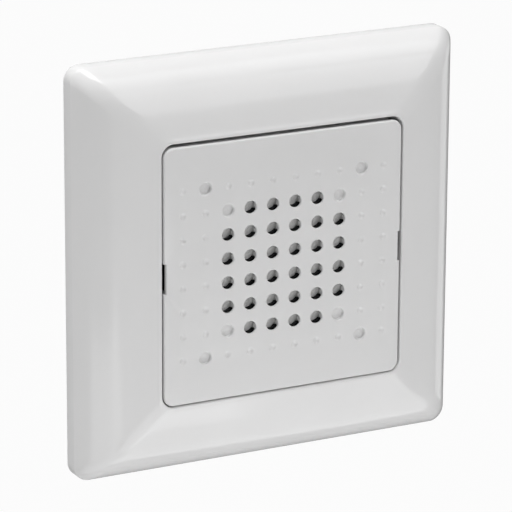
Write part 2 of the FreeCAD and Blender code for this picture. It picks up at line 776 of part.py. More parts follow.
def make_magnet():
    half = centred("0", "yoke_width")
    back = box("yoke_back", half, (YOKE_BACK, CUP_FLOOR), ("-yoke_foot", ARM_TOP))
    arm = box("yoke_arm", half, ("yoke_front", CUP_FLOOR), ("yoke_arm_height", ARM_TOP))
    tab = box(
        "yoke_tab", centred("0", "yoke_tab_width"), ("yoke_front", "yoke_front + yoke_thickness"),
        ("yoke_arm_height", "yoke_tab_top"),
    )
    tools = [
        rod("yoke_hole", "y", "core_screw_radius + screw_clearance", YOKE_BACK, CUP_FLOOR),
        rod("tab_thread", "y", "adjuster_radius + thread_clearance", "yoke_front",
            "yoke_front + yoke_thickness", z="adjuster_height"),
    ]
    for side, sign in SIDES.items():
        tools.append(rod(
            f"{side}_tab_hole", "y", "spring_screw_radius + thread_clearance", "yoke_front",
            "yoke_front + yoke_thickness", x=f"{sign} * spring_screw_reach", z="spring_screw_height",
        ))
    node(cut("yoke", joined("yoke_whole", back, arm, tab), *tools), "magnet_yoke")

    bar = rod("core_bar", "y", "core_radius", "yoke_front + core_gap", YOKE_BACK)
    bore_start = f"{YOKE_BACK} - core_bore_length"
    bore = rod("core_bore", "y", "core_screw_radius + thread_clearance", bore_start, YOKE_BACK)
    node(cut("core", bar, bore), "magnet_core")

    tube_radius = "core_radius + bobbin_clearance + bobbin_tube"
    tube = rod("bobbin_barrel", "y", tube_radius, "bobbin_front", YOKE_BACK)
    side = centred("0", "bobbin_side")
    front = box("bobbin_front_flange", side, ("bobbin_front", "bobbin_front + bobbin_flange"), side)
    rear = box("bobbin_rear_flange", side, (f"{YOKE_BACK} - bobbin_flange", YOKE_BACK), side)
    through = rod("bobbin_bore", "y", "core_radius + bobbin_clearance", "bobbin_front", YOKE_BACK)
    node(cut("bobbin", joined("bobbin_whole", tube, front, rear), through), "coil_bobbin")

    wound = ("bobbin_front + bobbin_flange", f"{YOKE_BACK} - bobbin_flange")
    coil = rod("coil_outside", "y", "winding_radius", *wound)
    middle = rod("coil_inside", "y", tube_radius, *wound)
    node(cut("coil", coil, middle), "coil_winding")

    head = rod("core_screw_head", "y", "core_head_radius", "cup_depth", "cup_depth + core_head_height")
    shank_end = f"{YOKE_BACK} - core_screw_length"
    shank = rod("core_screw_shank", "y", "core_screw_radius", shank_end, "cup_depth")
    slot = box(
        "core_screw_slot", centred("0", "2 * core_head_radius"),
        ("cup_depth + core_head_height - drive_slot_depth", "cup_depth + core_head_height"),
        centred("0", "drive_slot_width"),
    )
    node(cut("core_screw_cut", joined("core_screw_whole", head, shank), slot), "core_screw")


# Armature: a steel flap in front of the core, riveted to a leaf spring that is screwed to the
# yoke's tab, with the striker on its front.

def make_armature():
    flap = box(
        "flap", centred("0", "armature_width"), (ARMATURE_FRONT, SPRING_FRONT),
        ("-armature_low", "armature_high"),
    )
    rivets, leaf_holes, screws = [], [], []
    for side, sign in SIDES.items():
        x = f"{sign} * rivet_reach"
        at = {"x": x, "z": "rivet_height"}
        rivets.append(joined(
            f"{side}_rivet",
            rod(f"{side}_rivet_shank", "y", "rivet_radius", ARMATURE_FRONT, "yoke_front", **at),
            rod(f"{side}_rivet_head", "y", "rivet_head_radius", f"{ARMATURE_FRONT} - rivet_head_height",
                ARMATURE_FRONT, **at),
            rod(f"{side}_rivet_tail", "y", "rivet_head_radius", "yoke_front",
                "yoke_front + rivet_head_height", **at),
        ))
        hole = "rivet_radius + thread_clearance"
        leaf_holes.append(rod(f"{side}_rivet_hole", "y", hole, ARMATURE_FRONT, "yoke_front", **at))
    holes_in_flap = group("flap_holes", leaf_holes)
    node(cut("armature_plate", flap, holes_in_flap), "armature")
    node(group("rivets", rivets), "spring_rivets")

    stem = rod(
        "striker_stem", "y", "striker_radius", f"-{SOUNDING_BACK} + striker_gap", ARMATURE_FRONT,
        z="-striker_drop",
    )
    node(stem, "striker")

    thickness = (SPRING_FRONT, "yoke_front")
    leaf = box("leaf", centred("0", "spring_width"), thickness, ("spring_low", "yoke_tab_top"))
    tools = []
    for side, sign in SIDES.items():
        at = {"x": f"{sign} * spring_screw_reach", "z": "spring_screw_height"}
        hole = "spring_screw_radius + thread_clearance"
        tools.append(rod(f"{side}_leaf_hole", "y", hole, *thickness, **at))
        rivet = {"x": f"{sign} * rivet_reach", "z": "rivet_height"}
        hole = "rivet_radius + thread_clearance"
        tools.append(rod(f"{side}_leaf_rivet_hole", "y", hole, *thickness, **rivet))
        head_top = f"{SPRING_FRONT} - spring_head_height"
        head = rod(f"{side}_leaf_head", "y", "spring_head_radius", head_top, SPRING_FRONT, **at)
        shank = rod(f"{side}_leaf_shank", "y", "spring_screw_radius", SPRING_FRONT,
                    "yoke_front + yoke_thickness", **at)
        slot = box(
            f"{side}_leaf_slot", centred(at["x"], "2 * spring_head_radius"),
            (head_top, f"{head_top} + small_slot_depth"), centred(at["z"], "small_slot_width"),
        )
        screws.append(cut(f"{side}_leaf_screw", joined(f"{side}_leaf_whole", head, shank), slot))
    node(cut("leaf_spring", leaf, *tools), "armature_spring")
    node(group("leaf_screws", screws), "spring_screws")


# Adjusting screw: it runs from the cup's floor to the yoke's tab and bears on the leaf spring.

def make_adjuster():
    tip = "yoke_front + thread_clearance"
    head_start = "cup_depth - adjuster_sink"
    shank = rod("adjuster_shank", "y", "adjuster_radius", tip, head_start, z="adjuster_height")
    head_end = f"{head_start} + adjuster_head_height"
    head = rod("adjuster_head", "y", "adjuster_head_radius", head_start, head_end, z="adjuster_height")
    slot = box(
        "adjuster_slot", centred("0", "2 * adjuster_head_radius"),
        (f"{head_end} - drive_slot_depth", head_end), centred("adjuster_height", "drive_slot_width"),
    )
    node(cut("adjuster_cut", joined("adjuster_whole", shank, head), slot), "adjusting_screw")
    nut = doc.addObject("Part::Prism", "nut_hexagon")
    nut.Polygon = 6
    nut.setExpression("Circumradius", tied("adjuster_nut_radius"))
    nut.setExpression("Height", tied("adjuster_nut_height"))
    place(nut, y="yoke_front + yoke_thickness", z="adjuster_height", rotation=AXES["y"])
    start = "yoke_front + yoke_thickness"
    bore = rod("nut_bore", "y", "adjuster_radius + thread_clearance", start,
               f"{start} + adjuster_nut_height", z="adjuster_height")
    node(cut("nut", nut, bore), "adjusting_nut")


# Terminals: a block on the cup's floor with two brass clamps, each with its screw from below.

def make_terminals():
    clamp_front = f"({CUP_FLOOR} - block_back_wall - clamp_clearance - clamp_length)"
    block_z = ("-block_bottom", "-block_top")
    block = box("block", centred("0", "block_width"), ("block_front", CUP_FLOOR), block_z)
    tools = []
    for side, sign in SIDES.items():
        x = f"{sign} * terminal_reach"
        clamp_x = centred(x, "clamp_width")
        clamp_y = (clamp_front, f"{clamp_front} + clamp_length")
        clamp_z = centred("-clamp_drop", "clamp_height")
        pocket_x = centred(x, "clamp_width + 2 * clamp_clearance")
        pocket_z = centred("-clamp_drop", "clamp_height + 2 * clamp_clearance")
        bay_back = f"{CUP_FLOOR} - block_back_wall"
        tools.append(box(f"{side}_bay", pocket_x, ("block_front", bay_back), pocket_z))
        tools.append(rod(
            f"{side}_wire_way", "y", "wire_entry_radius", bay_back, CUP_FLOOR, x=x, z="-clamp_drop",
        ))
        tools.append(rod(
            f"{side}_screw_way", "z", "terminal_screw_radius + screw_clearance", "-block_bottom",
            "-clamp_drop", x=x, y="terminal_screw_depth",
        ))
        metal = box(f"{side}_clamp_block", clamp_x, clamp_y, clamp_z)
        bore = rod(f"{side}_wire_bore", "y", "clamp_bore_radius", f"{clamp_y[1]} - clamp_bore_length",
                   clamp_y[1], x=x, z="-clamp_drop")
        thread = rod(f"{side}_clamp_thread", "z", "terminal_screw_radius + thread_clearance",
                     "-clamp_drop - clamp_height / 2", "-clamp_drop", x=x, y="terminal_screw_depth")
        node(cut(f"{side}_clamp", metal, bore, thread), f"terminal_clamp_{side}")
        foot = "-block_bottom - thread_clearance"
        head_end = f"{foot} - terminal_head_height"
        head = rod(f"{side}_terminal_head", "z", "terminal_head_radius", head_end, foot,
                   x=x, y="terminal_screw_depth")
        shank = rod(f"{side}_terminal_shank", "z", "terminal_screw_radius", foot,
                    "-clamp_drop - clamp_bore_radius", x=x, y="terminal_screw_depth")
        slot = box(f"{side}_terminal_slot", centred(x, "2 * terminal_head_radius"),
                   centred("terminal_screw_depth", "drive_slot_width"),
                   (head_end, f"{head_end} + drive_slot_depth"))
        whole = joined(f"{side}_terminal_whole", head, shank)
        node(cut(f"{side}_terminal_cut", whole, slot), f"terminal_screw_{side}")
    node(cut("terminals", block, *tools), "terminal_block")


# Leads: from the bobbin's front flange down and back to the front of each clamp, a straight run,
# a quarter bend and a straight run.

def make_lead(side, sign):
    body = doc.addObject("PartDesign::Body", f"{side}_lead_body")
    path = body.newObject("Sketcher::SketchObject", f"{side}_lead_path")
    plane = next(item for item in body.Origin.OriginFeatures if item.Role == "YZ_Plane")
    path.AttachmentSupport = [(plane, "")]
    path.MapMode = "FlatFace"
    path.setExpression("AttachmentOffset.Base.z", tied(f"{sign} * terminal_reach"))
    top = "-bobbin_side / 2"
    clamp_front = f"{CUP_FLOOR} - block_back_wall - clamp_clearance - clamp_length"
    bend_end = "lead_start + lead_bend"
    bend_start = "-clamp_drop + lead_bend"
    down = path.addGeometry(Part.LineSegment(
        Vector(value("lead_start"), value(top), 0),
        Vector(value("lead_start"), value(bend_start), 0)), False)
    corner = Part.Arc(
        Vector(value("lead_start"), value(bend_start), 0),
        Vector(value(f"{bend_end} - lead_bend * cos(45)"), value(f"{bend_start} - lead_bend * sin(45)"), 0),
        Vector(value(bend_end), value("-clamp_drop"), 0))
    bend = path.addGeometry(corner, False)
    along = path.addGeometry(Part.LineSegment(
        Vector(value(bend_end), value("-clamp_drop"), 0),
        Vector(value(clamp_front), value("-clamp_drop"), 0)), False)
    path.addConstraint(Sketcher.Constraint("Tangent", down, 2, bend, 1))
    path.addConstraint(Sketcher.Constraint("Tangent", bend, 2, along, 1))
    path.addConstraint(Sketcher.Constraint("Vertical", down))
    path.addConstraint(Sketcher.Constraint("Horizontal", along))
    pin(path, down, 1, "lead_start", top)
    pin(path, along, 2, clamp_front, "-clamp_drop")
    held(path, "lead_bend", "Radius", bend)
    section = body.newObject("Sketcher::SketchObject", f"{side}_lead_section")
    flat = next(item for item in body.Origin.OriginFeatures if item.Role == "XY_Plane")
    section.AttachmentSupport = [(flat, "")]
    section.MapMode = "FlatFace"
    section.setExpression("AttachmentOffset.Base.z", tied(top))
    add_circle(section, "lead_radius", f"{sign} * terminal_reach", "lead_start")
    sweep = body.newObject("PartDesign::AdditivePipe", f"{side}_lead_sweep")
    sweep.Profile = section
    sweep.Spine = path
    return node(body, f"lead_{side}")


# Claws: each a forked strip that hangs in the ring's lugs and straddles its screw.

def make_claw(side, sign):
    inner, outer = "claw_reach - claw_thickness / 2", "claw_reach + claw_thickness / 2"
    tip = f"{outer} + claw_tooth"
    width = centred("0", "claw_width")
    strip = box(f"{side}_strip", on_side(sign, inner, outer), ("claw_start", "claw_length"), width)
    slot = box(f"{side}_fork", on_side(sign, inner, tip), ("claw_start + claw_bridge", "claw_length"),
               centred("0", "claw_slot"))
    tooth_y = ("claw_length - claw_tooth_thickness", "claw_length")
    tooth = box(f"{side}_tooth", on_side(sign, outer, tip), tooth_y, width)
    reach = f"{LUG_INNER} + lug_wall"
    pivot = rod(f"{side}_pivot", "z", "claw_pivot_radius", f"-({reach})", reach,
                x=f"{sign} * claw_reach", y="claw_pivot_depth")
    fork = cut(f"{side}_claw_fork", joined(f"{side}_claw_strip", strip, tooth), slot)
    node(joined(f"{side}_claw_whole", fork, pivot), f"claw_{side}")

    x = f"{sign} * claw_screw_reach"
    front = "-ring_thickness - claw_head_height"
    head = rod(f"{side}_claw_head", "y", "claw_head_radius", front, "-ring_thickness", x=x)
    shank = rod(f"{side}_claw_shank", "y", "claw_screw_radius", "-ring_thickness", "claw_screw_depth", x=x)
    groove = box(f"{side}_claw_slot", centred(x, "2 * claw_head_radius"),
                 (front, f"{front} + drive_slot_depth"), centred("0", "drive_slot_width"))
    screw = cut(f"{side}_claw_cut", joined(f"{side}_claw_screw", head, shank), groove)
    node(screw, f"claw_screw_{side}")


make_cover_frame()
make_centre_plate()
make_sound_felt()
make_sounding_plate()
make_support_ring()
make_front_housing()
make_rear_housing()
make_housing_screws()
make_magnet()
make_armature()
make_adjuster()
make_terminals()
for side, sign in SIDES.items():
    make_lead(side, sign)
    make_claw(side, sign)
doc.recompute()

faults = [
    f"{item.Name} ({item.Label}) failed" for item in doc.Objects
    if {"Invalid", "Error"} & set(item.State)
]
faults += [
    f"{piece.Label} has no valid shape" for piece in nodes
    if piece.Shape.isNull() or not piece.Shape.isValid()
]
if faults:
    print("\n".join(faults))
    raise SystemExit(1)

os.makedirs("parts", exist_ok=True)
for piece in nodes:
    piece.Shape.exportStep(os.path.join("parts", piece.Label + ".step"))
    print(f"{piece.Label}: {len(piece.Shape.Solids)} solids, {piece.Shape.Volume:.2f} mm3")
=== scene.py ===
import bpy
import bmesh
import json
import math
from mathutils import Matrix, Vector


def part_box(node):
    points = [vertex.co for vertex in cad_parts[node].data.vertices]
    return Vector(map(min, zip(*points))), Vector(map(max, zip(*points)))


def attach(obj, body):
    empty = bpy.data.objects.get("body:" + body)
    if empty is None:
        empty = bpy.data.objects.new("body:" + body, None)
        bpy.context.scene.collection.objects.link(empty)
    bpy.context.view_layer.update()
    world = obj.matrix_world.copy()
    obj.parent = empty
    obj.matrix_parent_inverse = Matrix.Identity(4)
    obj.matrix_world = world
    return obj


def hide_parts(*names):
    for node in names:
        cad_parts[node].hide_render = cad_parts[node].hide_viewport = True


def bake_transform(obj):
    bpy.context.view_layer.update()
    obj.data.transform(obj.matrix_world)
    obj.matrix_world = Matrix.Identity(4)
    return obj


# An electric buzzer on a wall, seen a little from the left and above. The row frame is in metres:
# the wall is the plane y = 0, X points right as seen from the front, Y into the wall and Z up.
# Sizes of the object are in millimetres here, and a height is a distance in front of the wall.

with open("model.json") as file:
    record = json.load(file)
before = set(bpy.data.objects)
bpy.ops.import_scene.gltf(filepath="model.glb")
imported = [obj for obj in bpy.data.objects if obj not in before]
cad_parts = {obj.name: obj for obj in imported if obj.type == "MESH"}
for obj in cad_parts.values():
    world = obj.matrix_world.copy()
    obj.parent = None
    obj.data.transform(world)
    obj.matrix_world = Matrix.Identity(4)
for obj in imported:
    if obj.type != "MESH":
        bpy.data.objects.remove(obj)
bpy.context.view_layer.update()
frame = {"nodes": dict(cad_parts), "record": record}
MM = 0.001

# Sizes that the frame, the plate and the felt share
PLATE_GAP = 0.35
PLATE_CORNER = 2.0
PLATE_WEB = 1.0
LEG_TIP = 0.3
HOLE_RADIUS = 1.225
CIRCLE_SIDES = 60
CORNER_RUNS = 10

frame_low, frame_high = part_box("cover_frame")
plate_low, plate_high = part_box("centre_plate")
FRAME_HALF = frame_high.x / MM
FRAME_TOP = -frame_low.y / MM
PLATE_HALF = plate_high.x / MM
FACE_HEIGHT = -plate_low.y / MM
OPENING_HALF = PLATE_HALF + PLATE_GAP
WEB_BACK = FACE_HEIGHT - PLATE_WEB


def direction(azimuth, elevation):
    """The unit vector from the object at an azimuth and an elevation, in degrees."""
    a, e = math.radians(azimuth), math.radians(elevation)
    return Vector((math.sin(a) * math.cos(e), -math.cos(a) * math.cos(e), math.sin(e)))


def grey(level):
    """The colour of a socket, from one level."""
    return level, level, level, 1


# Camera: angles in degrees, its distance, aim and sensor in millimetres, its near end in metres

AZIMUTH = -27.37
ELEVATION = 16.955
ROLL = 0.302
DISTANCE = 667.891
AIM_RIGHT = 5.27
AIM_DOWN = 1.283
FOCAL_PIXELS = 3554.775
PHOTO_PIXELS = 512
SENSOR = 36.0
CLIP_START = 0.01


def make_camera():
    """The camera at the photograph's angle, aimed just beside the plate's middle."""
    azimuth, roll = math.radians(AZIMUTH), math.radians(ROLL)
    back = direction(AZIMUTH, ELEVATION)
    level = Vector((math.cos(azimuth), math.sin(azimuth), 0))
    rise = back.cross(level)
    right = level * math.cos(roll) + rise * math.sin(roll)
    up = back.cross(right)
    face = Vector((0, -FACE_HEIGHT * MM, 0))
    place = face + (back * DISTANCE - right * AIM_RIGHT + up * AIM_DOWN) * MM
    data = bpy.data.cameras.new("camera")
    data.sensor_width = SENSOR
    data.lens = FOCAL_PIXELS / PHOTO_PIXELS * SENSOR
    data.clip_start = CLIP_START
    camera = bpy.data.objects.new("camera", data)
    turn = Matrix((right, up, back)).transposed().to_4x4()
    camera.matrix_world = Matrix.Translation(place) @ turn
    bpy.context.scene.collection.objects.link(camera)
    bpy.context.scene.camera = camera


# Light

LAMPS = {
    # name: azimuth and elevation in degrees, distance, width and height in metres, watts
    "top_lamp": (0, 80, 0.7, 0.35, 0.35, 1.74),
    "front_lamp": (26, 29, 0.7, 0.35, 0.35, 0.78),
    "upper_right_lamp": (40, 58, 0.7, 0.5, 0.32, 0.72),
    "upper_left_lamp": (-110, 60, 0.7, 0.35, 0.35, 2.45),
    "left_lamp": (-103, 8, 0.7, 0.35, 0.35, 0.90),
    "right_lamp": (98, -8, 0.7, 0.35, 0.35, 0.38),
    "front_low_lamp": (-4, -17, 0.5, 0.32, 0.27, 0.15),
    "low_lamp": (14, -36, 0.3, 0.14, 0.14, 0.11),
    "low_left_lamp": (-42, -45, 0.3, 0.30, 0.30, 0.30),
    "low_right_lamp": (40, -53, 0.5, 0.31, 0.28, 0.46),
}
# The surrounding: its level as the camera sees it and as it lights the object, how strong it is
# above and in front, and how far to each side of the middle it fades in
SEEN_LEVEL = 0.975
LIT_LEVEL = 0.98
SKY_STRENGTH = 0.222
FRONT_STRENGTH = 0.01
FADE = 0.2


def add_lamp(name, azimuth, elevation, distance, width, height, watts):
    """A soft lamp that faces the buzzer."""
    away = direction(azimuth, elevation)
    data = bpy.data.lights.new(name, "AREA")
    data.shape = "RECTANGLE"
    data.size, data.size_y = width, height
    data.energy = watts
    lamp = bpy.data.objects.new(name, data)
    lamp.location = away * distance
    lamp.rotation_euler = (-away).to_track_quat("-Z", "Y").to_euler()
    bpy.context.scene.collection.objects.link(lamp)


def make_light():
    """Large soft lamps round the object, and a pale surrounding that is brighter above."""
    for name, values in LAMPS.items():
        add_lamp(name, *values)
    world = bpy.data.worlds.new("surrounding")
    world.use_nodes = True
    bpy.context.scene.world = world
    tree = world.node_tree
    tree.nodes.clear()
    output = tree.nodes.new("ShaderNodeOutputWorld")
    seen = tree.nodes.new("ShaderNodeBackground")
    seen.inputs["Color"].default_value = grey(SEEN_LEVEL)
    lit = tree.nodes.new("ShaderNodeBackground")
    lit.inputs["Color"].default_value = grey(LIT_LEVEL)
    place = tree.nodes.new("ShaderNodeTexCoord")
    split = tree.nodes.new("ShaderNodeSeparateXYZ")
    total = tree.nodes.new("ShaderNodeMath")
    tree.links.new(place.outputs["Generated"], split.inputs[0])
    for index, (axis, low, high, strength) in enumerate((
        ("Z", -FADE, FADE, SKY_STRENGTH), ("Y", FADE, -FADE, FRONT_STRENGTH),
    )):
        rise = tree.nodes.new("ShaderNodeMapRange")
        rise.interpolation_type = "SMOOTHSTEP"
        rise.inputs["From Min"].default_value = low
        rise.inputs["From Max"].default_value = high
        rise.inputs["To Max"].default_value = strength
        tree.links.new(split.outputs[axis], rise.inputs["Value"])
        tree.links.new(rise.outputs["Result"], total.inputs[index])
    tree.links.new(total.outputs[0], lit.inputs["Strength"])
    path = tree.nodes.new("ShaderNodeLightPath")
    direct = tree.nodes.new("ShaderNodeMath")
    direct.operation = "MAXIMUM"
    mix = tree.nodes.new("ShaderNodeMixShader")
    tree.links.new(path.outputs["Is Camera Ray"], direct.inputs[0])
    tree.links.new(path.outputs["Is Transmission Ray"], direct.inputs[1])
    tree.links.new(direct.outputs[0], mix.inputs[0])
    tree.links.new(lit.outputs[0], mix.inputs[1])
    tree.links.new(seen.outputs[0], mix.inputs[2])
    tree.links.new(mix.outputs[0], output.inputs[0])


# Floor: drop and side in metres, its paint, and the share of white glow that the camera sees

FLOOR_DROP = 0.55
FLOOR_SIDE = 30.0
FLOOR_PAINT = 0.45
FLOOR_SEEN = 0.965


def make_floor():
    """A pale floor well below the buzzer, which hangs on its wall box."""
    mesh = bpy.data.meshes.new("floor")
    half = FLOOR_SIDE / 2
    corners = [(-half, -half), (half, -half), (half, half), (-half, half)]
    mesh.from_pydata([(x, y, -FLOOR_DROP) for x, y in corners], [], [(0, 1, 2, 3)])
    floor = bpy.data.objects.new("floor", mesh)
    bpy.context.scene.collection.objects.link(floor)
    material = bpy.data.materials.new("floor_white")
    material.use_nodes = True
    tree = material.node_tree
    tree.nodes.clear()
    output = tree.nodes.new("ShaderNodeOutputMaterial")
    glow = tree.nodes.new("ShaderNodeEmission")
    glow.inputs["Color"].default_value = grey(1)
    paint = tree.nodes.new("ShaderNodeBsdfDiffuse")
    paint.inputs["Color"].default_value = grey(FLOOR_PAINT)
    path = tree.nodes.new("ShaderNodeLightPath")
    share = tree.nodes.new("ShaderNodeMath")
    share.operation = "MULTIPLY"
    share.inputs[1].default_value = FLOOR_SEEN
    mix = tree.nodes.new("ShaderNodeMixShader")
    tree.links.new(path.outputs["Is Camera Ray"], share.inputs[0])
    tree.links.new(share.outputs[0], mix.inputs[0])
    tree.links.new(paint.outputs[0], mix.inputs[1])
    tree.links.new(glow.outputs[0], mix.inputs[2])
    tree.links.new(mix.outputs[0], output.inputs[0])
    mesh.materials.append(material)


# Materials: two tones, a fine bump and mostly an uneven roughness, from noise scaled per metre.
# The noise is spread out between a low and a high value, as it seldom goes beyond them.

NOISE_LOW, NOISE_HIGH = 0.3, 0.7


def new_material(name, colour, roughness, metallic=0.0):
    """A material with its plain values on the shader's own sockets."""
    material = bpy.data.materials.new(name)
    material.use_nodes = True
    shader = material.node_tree.nodes["Principled BSDF"]
    shader.inputs["Base Color"].default_value = (*colour, 1)
    shader.inputs["Roughness"].default_value = roughness
    shader.inputs["Metallic"].default_value = metallic
    return material, material.node_tree, shader


def noise(tree, scale, detail=4.0, stretch=(1, 1, 1)):
    """Noise over the object's own coordinates, with its features 1 / scale metres apart."""
    place = tree.nodes.new("ShaderNodeTexCoord")
    mapping = tree.nodes.new("ShaderNodeMapping")
    mapping.inputs["Scale"].default_value = stretch
    texture = tree.nodes.new("ShaderNodeTexNoise")
    texture.inputs["Scale"].default_value = scale
    texture.inputs["Detail"].default_value = detail
    tree.links.new(place.outputs["Object"], mapping.inputs["Vector"])
    tree.links.new(mapping.outputs["Vector"], texture.inputs["Vector"])
    return texture.outputs["Fac"]


def tint(tree, shader, fac, dark, light):
    """Spreads a texture between two colours."""
    ramp = tree.nodes.new("ShaderNodeValToRGB")
    first, last = ramp.color_ramp.elements
    first.position, last.position = NOISE_LOW, NOISE_HIGH
    first.color, last.color = (*dark, 1), (*light, 1)
    tree.links.new(fac, ramp.inputs["Fac"])
    tree.links.new(ramp.outputs["Color"], shader.inputs["Base Color"])


def roughen(tree, shader, fac, low, high):
    """Spreads a texture between two values of roughness."""
    spread = tree.nodes.new("ShaderNodeMapRange")
    spread.inputs["From Min"].default_value = NOISE_LOW
    spread.inputs["From Max"].default_value = NOISE_HIGH
    spread.inputs["To Min"].default_value = low
    spread.inputs["To Max"].default_value = high
    tree.links.new(fac, spread.inputs["Value"])
    tree.links.new(spread.outputs["Result"], shader.inputs["Roughness"])


def bump(tree, shader, fac, height):
    """Bumps a surface by a texture, height in metres."""
    node = tree.nodes.new("ShaderNodeBump")
    node.inputs["Strength"].default_value = 1.0
    node.inputs["Distance"].default_value = height
    tree.links.new(fac, node.inputs["Height"])
    tree.links.new(node.outputs["Normal"], shader.inputs["Normal"])


def gloss_white():
    """White plastic from a polished mould."""
    material, tree, shader = new_material("gloss_white", colour=(0.80, 0.80, 0.80), roughness=0.2)
    shader.inputs["IOR"].default_value = 1.5
    tint(tree, shader, noise(tree, scale=60),
         dark=(0.787, 0.785, 0.785), light=(0.807, 0.805, 0.805))
    roughen(tree, shader, noise(tree, scale=400), low=0.08, high=0.12)
    bump(tree, shader, noise(tree, scale=900, detail=2), height=2e-6)
    return material


def satin_white():
    """White plastic with a fine even grain."""
    material, tree, shader = new_material("satin_white", colour=(0.79, 0.79, 0.79), roughness=0.35)
    tint(tree, shader, noise(tree, scale=80),
         dark=(0.777, 0.775, 0.775), light=(0.797, 0.795, 0.795))
    roughen(tree, shader, noise(tree, scale=700), low=0.30, high=0.38)
    bump(tree, shader, noise(tree, scale=5000, detail=3), height=6e-6)
    return material


def moulded(name, dark, light, low, high):
    """Eroded mould grain on a plain plastic, its roughness from low to high."""
    material, tree, shader = new_material(name, colour=dark, roughness=low)
    tint(tree, shader, noise(tree, scale=250), dark, light)
    roughen(tree, shader, noise(tree, scale=900), low, high)
    bump(tree, shader, noise(tree, scale=4000, detail=3), height=1.5e-5)
    return material


def shade_black_felt():
    """Near-black felt that paints the shade inside the sound holes, with its fibres mostly across.
    """
    material, tree, shader = new_material("felt", colour=(0.012, 0.012, 0.013), roughness=0.95)
    fibres = noise(tree, scale=3500, detail=6, stretch=(1, 1, 2.5))
    tint(tree, shader, fibres, dark=(0.006, 0.006, 0.007), light=(0.022, 0.022, 0.024))
    shader.inputs["Sheen Weight"].default_value = 0.03
    shader.inputs["Specular IOR Level"].default_value = 0.2
    bump(tree, shader, fibres, height=6e-5)
    return material


def metal(name, dark, light, low, high, stretch=(1, 1, 1), scale=1500, height=4e-6, metallic=1.0):
    """Bare or plated metal with fine lines or grain, its roughness from low to high."""
    material, tree, shader = new_material(name, colour=light, roughness=low, metallic=metallic)
    grain = noise(tree, scale, detail=5, stretch=stretch)
    tint(tree, shader, noise(tree, scale=180), dark, light)
    roughen(tree, shader, grain, low, high)
    bump(tree, shader, grain, height)
    return material


def zinc():
    """Zinc plate with its spangle and a faint blue pass."""
    material, tree, shader = new_material("zinc", colour=(0.62, 0.64, 0.66), roughness=0.35,
                                          metallic=1.0)
    place = tree.nodes.new("ShaderNodeTexCoord")
    spangle = tree.nodes.new("ShaderNodeTexVoronoi")
    spangle.inputs["Scale"].default_value = 450
    tree.links.new(place.outputs["Object"], spangle.inputs["Vector"])
    tint(tree, shader, spangle.outputs["Color"],
         dark=(0.52, 0.54, 0.57), light=(0.70, 0.72, 0.74))
    roughen(tree, shader, noise(tree, scale=1200), low=0.28, high=0.45)
    bump(tree, shader, noise(tree, scale=2500), height=5e-6)
    return material


def make_materials():
    """One material for each slot of the record."""
    return {
        "white_gloss": gloss_white(),
        "white_satin": satin_white(),
        # The black felt is painted shade: it darkens the inside of each sound hole.
        "felt": shade_black_felt(),
        "sheet_steel": metal("sheet_steel", dark=(0.42, 0.42, 0.42), light=(0.60, 0.60, 0.59),
                             low=0.30, high=0.50, stretch=(1, 1, 12), scale=900, height=5e-6),
        "zinc": zinc(),
        "housing": moulded("black_plastic", dark=(0.018, 0.018, 0.019),
                           light=(0.030, 0.030, 0.032), low=0.42, high=0.58),
        "bobbin": moulded("bobbin_plastic", dark=(0.52, 0.50, 0.42), light=(0.60, 0.58, 0.50),
                          low=0.40, high=0.55),
        "copper": metal("copper_wire", dark=(0.45, 0.16, 0.05), light=(0.62, 0.25, 0.09),
                        low=0.22, high=0.36, stretch=(1, 14, 1)),
        "brass": metal("brass", dark=(0.62, 0.46, 0.20), light=(0.78, 0.60, 0.30),
                       low=0.22, high=0.40),
        "spring": metal("spring_steel", dark=(0.50, 0.50, 0.52), light=(0.66, 0.66, 0.68),
                        low=0.16, high=0.30, stretch=(8, 1, 1)),
        "lead": moulded("lead_sleeve", dark=(0.36, 0.02, 0.015), light=(0.46, 0.035, 0.025),
                        low=0.35, high=0.50),
    }


def dress_nodes(materials):
    """Gives every CAD node the material of its slot, and the sounding plate a paler one."""
    for part in frame["record"]["subparts"]:
        node = frame["nodes"][part["node"]]
        node.data.materials.clear()
        node.data.materials.append(materials[part["material_slot"]])
    sheet = frame["nodes"]["sounding_plate"].data.materials
    sheet.clear()
    sheet.append(metal("sounding_sheet", dark=(0.84, 0.84, 0.83), light=(0.94, 0.94, 0.93),
                       low=0.5, high=0.65, stretch=(1, 1, 6), scale=2500, height=8e-6,
                       metallic=0.0))


# Mesh helpers. A face counts as parallel to the wall from this part of its normal along Y.

FLAT = 0.9999


def add_piece(name, bm, crease, body, slot_name, materials, *replaced):
    """Makes a built mesh a piece in place of CAD nodes. Its shading is smooth, except on faces
    parallel to the wall and at edges sharper than the crease, in degrees. A piece given no body
    is attached to none."""
    bmesh.ops.recalc_face_normals(bm, faces=bm.faces)
    mesh = bpy.data.meshes.new(name)
    bm.to_mesh(mesh)
    bm.free()
    for polygon in mesh.polygons:
        polygon.use_smooth = abs(polygon.normal.y) < FLAT
    mesh.set_sharp_from_angle(angle=math.radians(crease))
    piece = bpy.data.objects.new(name, mesh)
    bpy.context.scene.collection.objects.link(piece)
    mesh.materials.append(materials[slot_name])
    if body:
        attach(piece, body)
    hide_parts(*replaced)
    return piece


def turns_round(count):
    """Angles of as many points round a circle, in radians."""
    return [2 * math.pi * index / count for index in range(count)]


def rounded_square(half, radius, steps, run):
    """Points round a square with round corners, from its lower left straight on."""
    points = []
    inner = half - radius
    for quarter in range(4):
        turn = math.radians(90 * quarter)
        cos, sin = math.cos(turn), math.sin(turn)
        side = [(-inner + 2 * inner * index / run, -half) for index in range(run)]
        arc = [
            (inner + radius * math.sin(math.radians(90 * index / steps)),
             -inner - radius * math.cos(math.radians(90 * index / steps)))
            for index in range(steps)
        ]
        points += [(x * cos - z * sin, x * sin + z * cos) for x, z in side + arc]
    return points


def centred(middle, width):
    """The low and the high value of a width about its middle."""
    return middle - width / 2, middle + width / 2


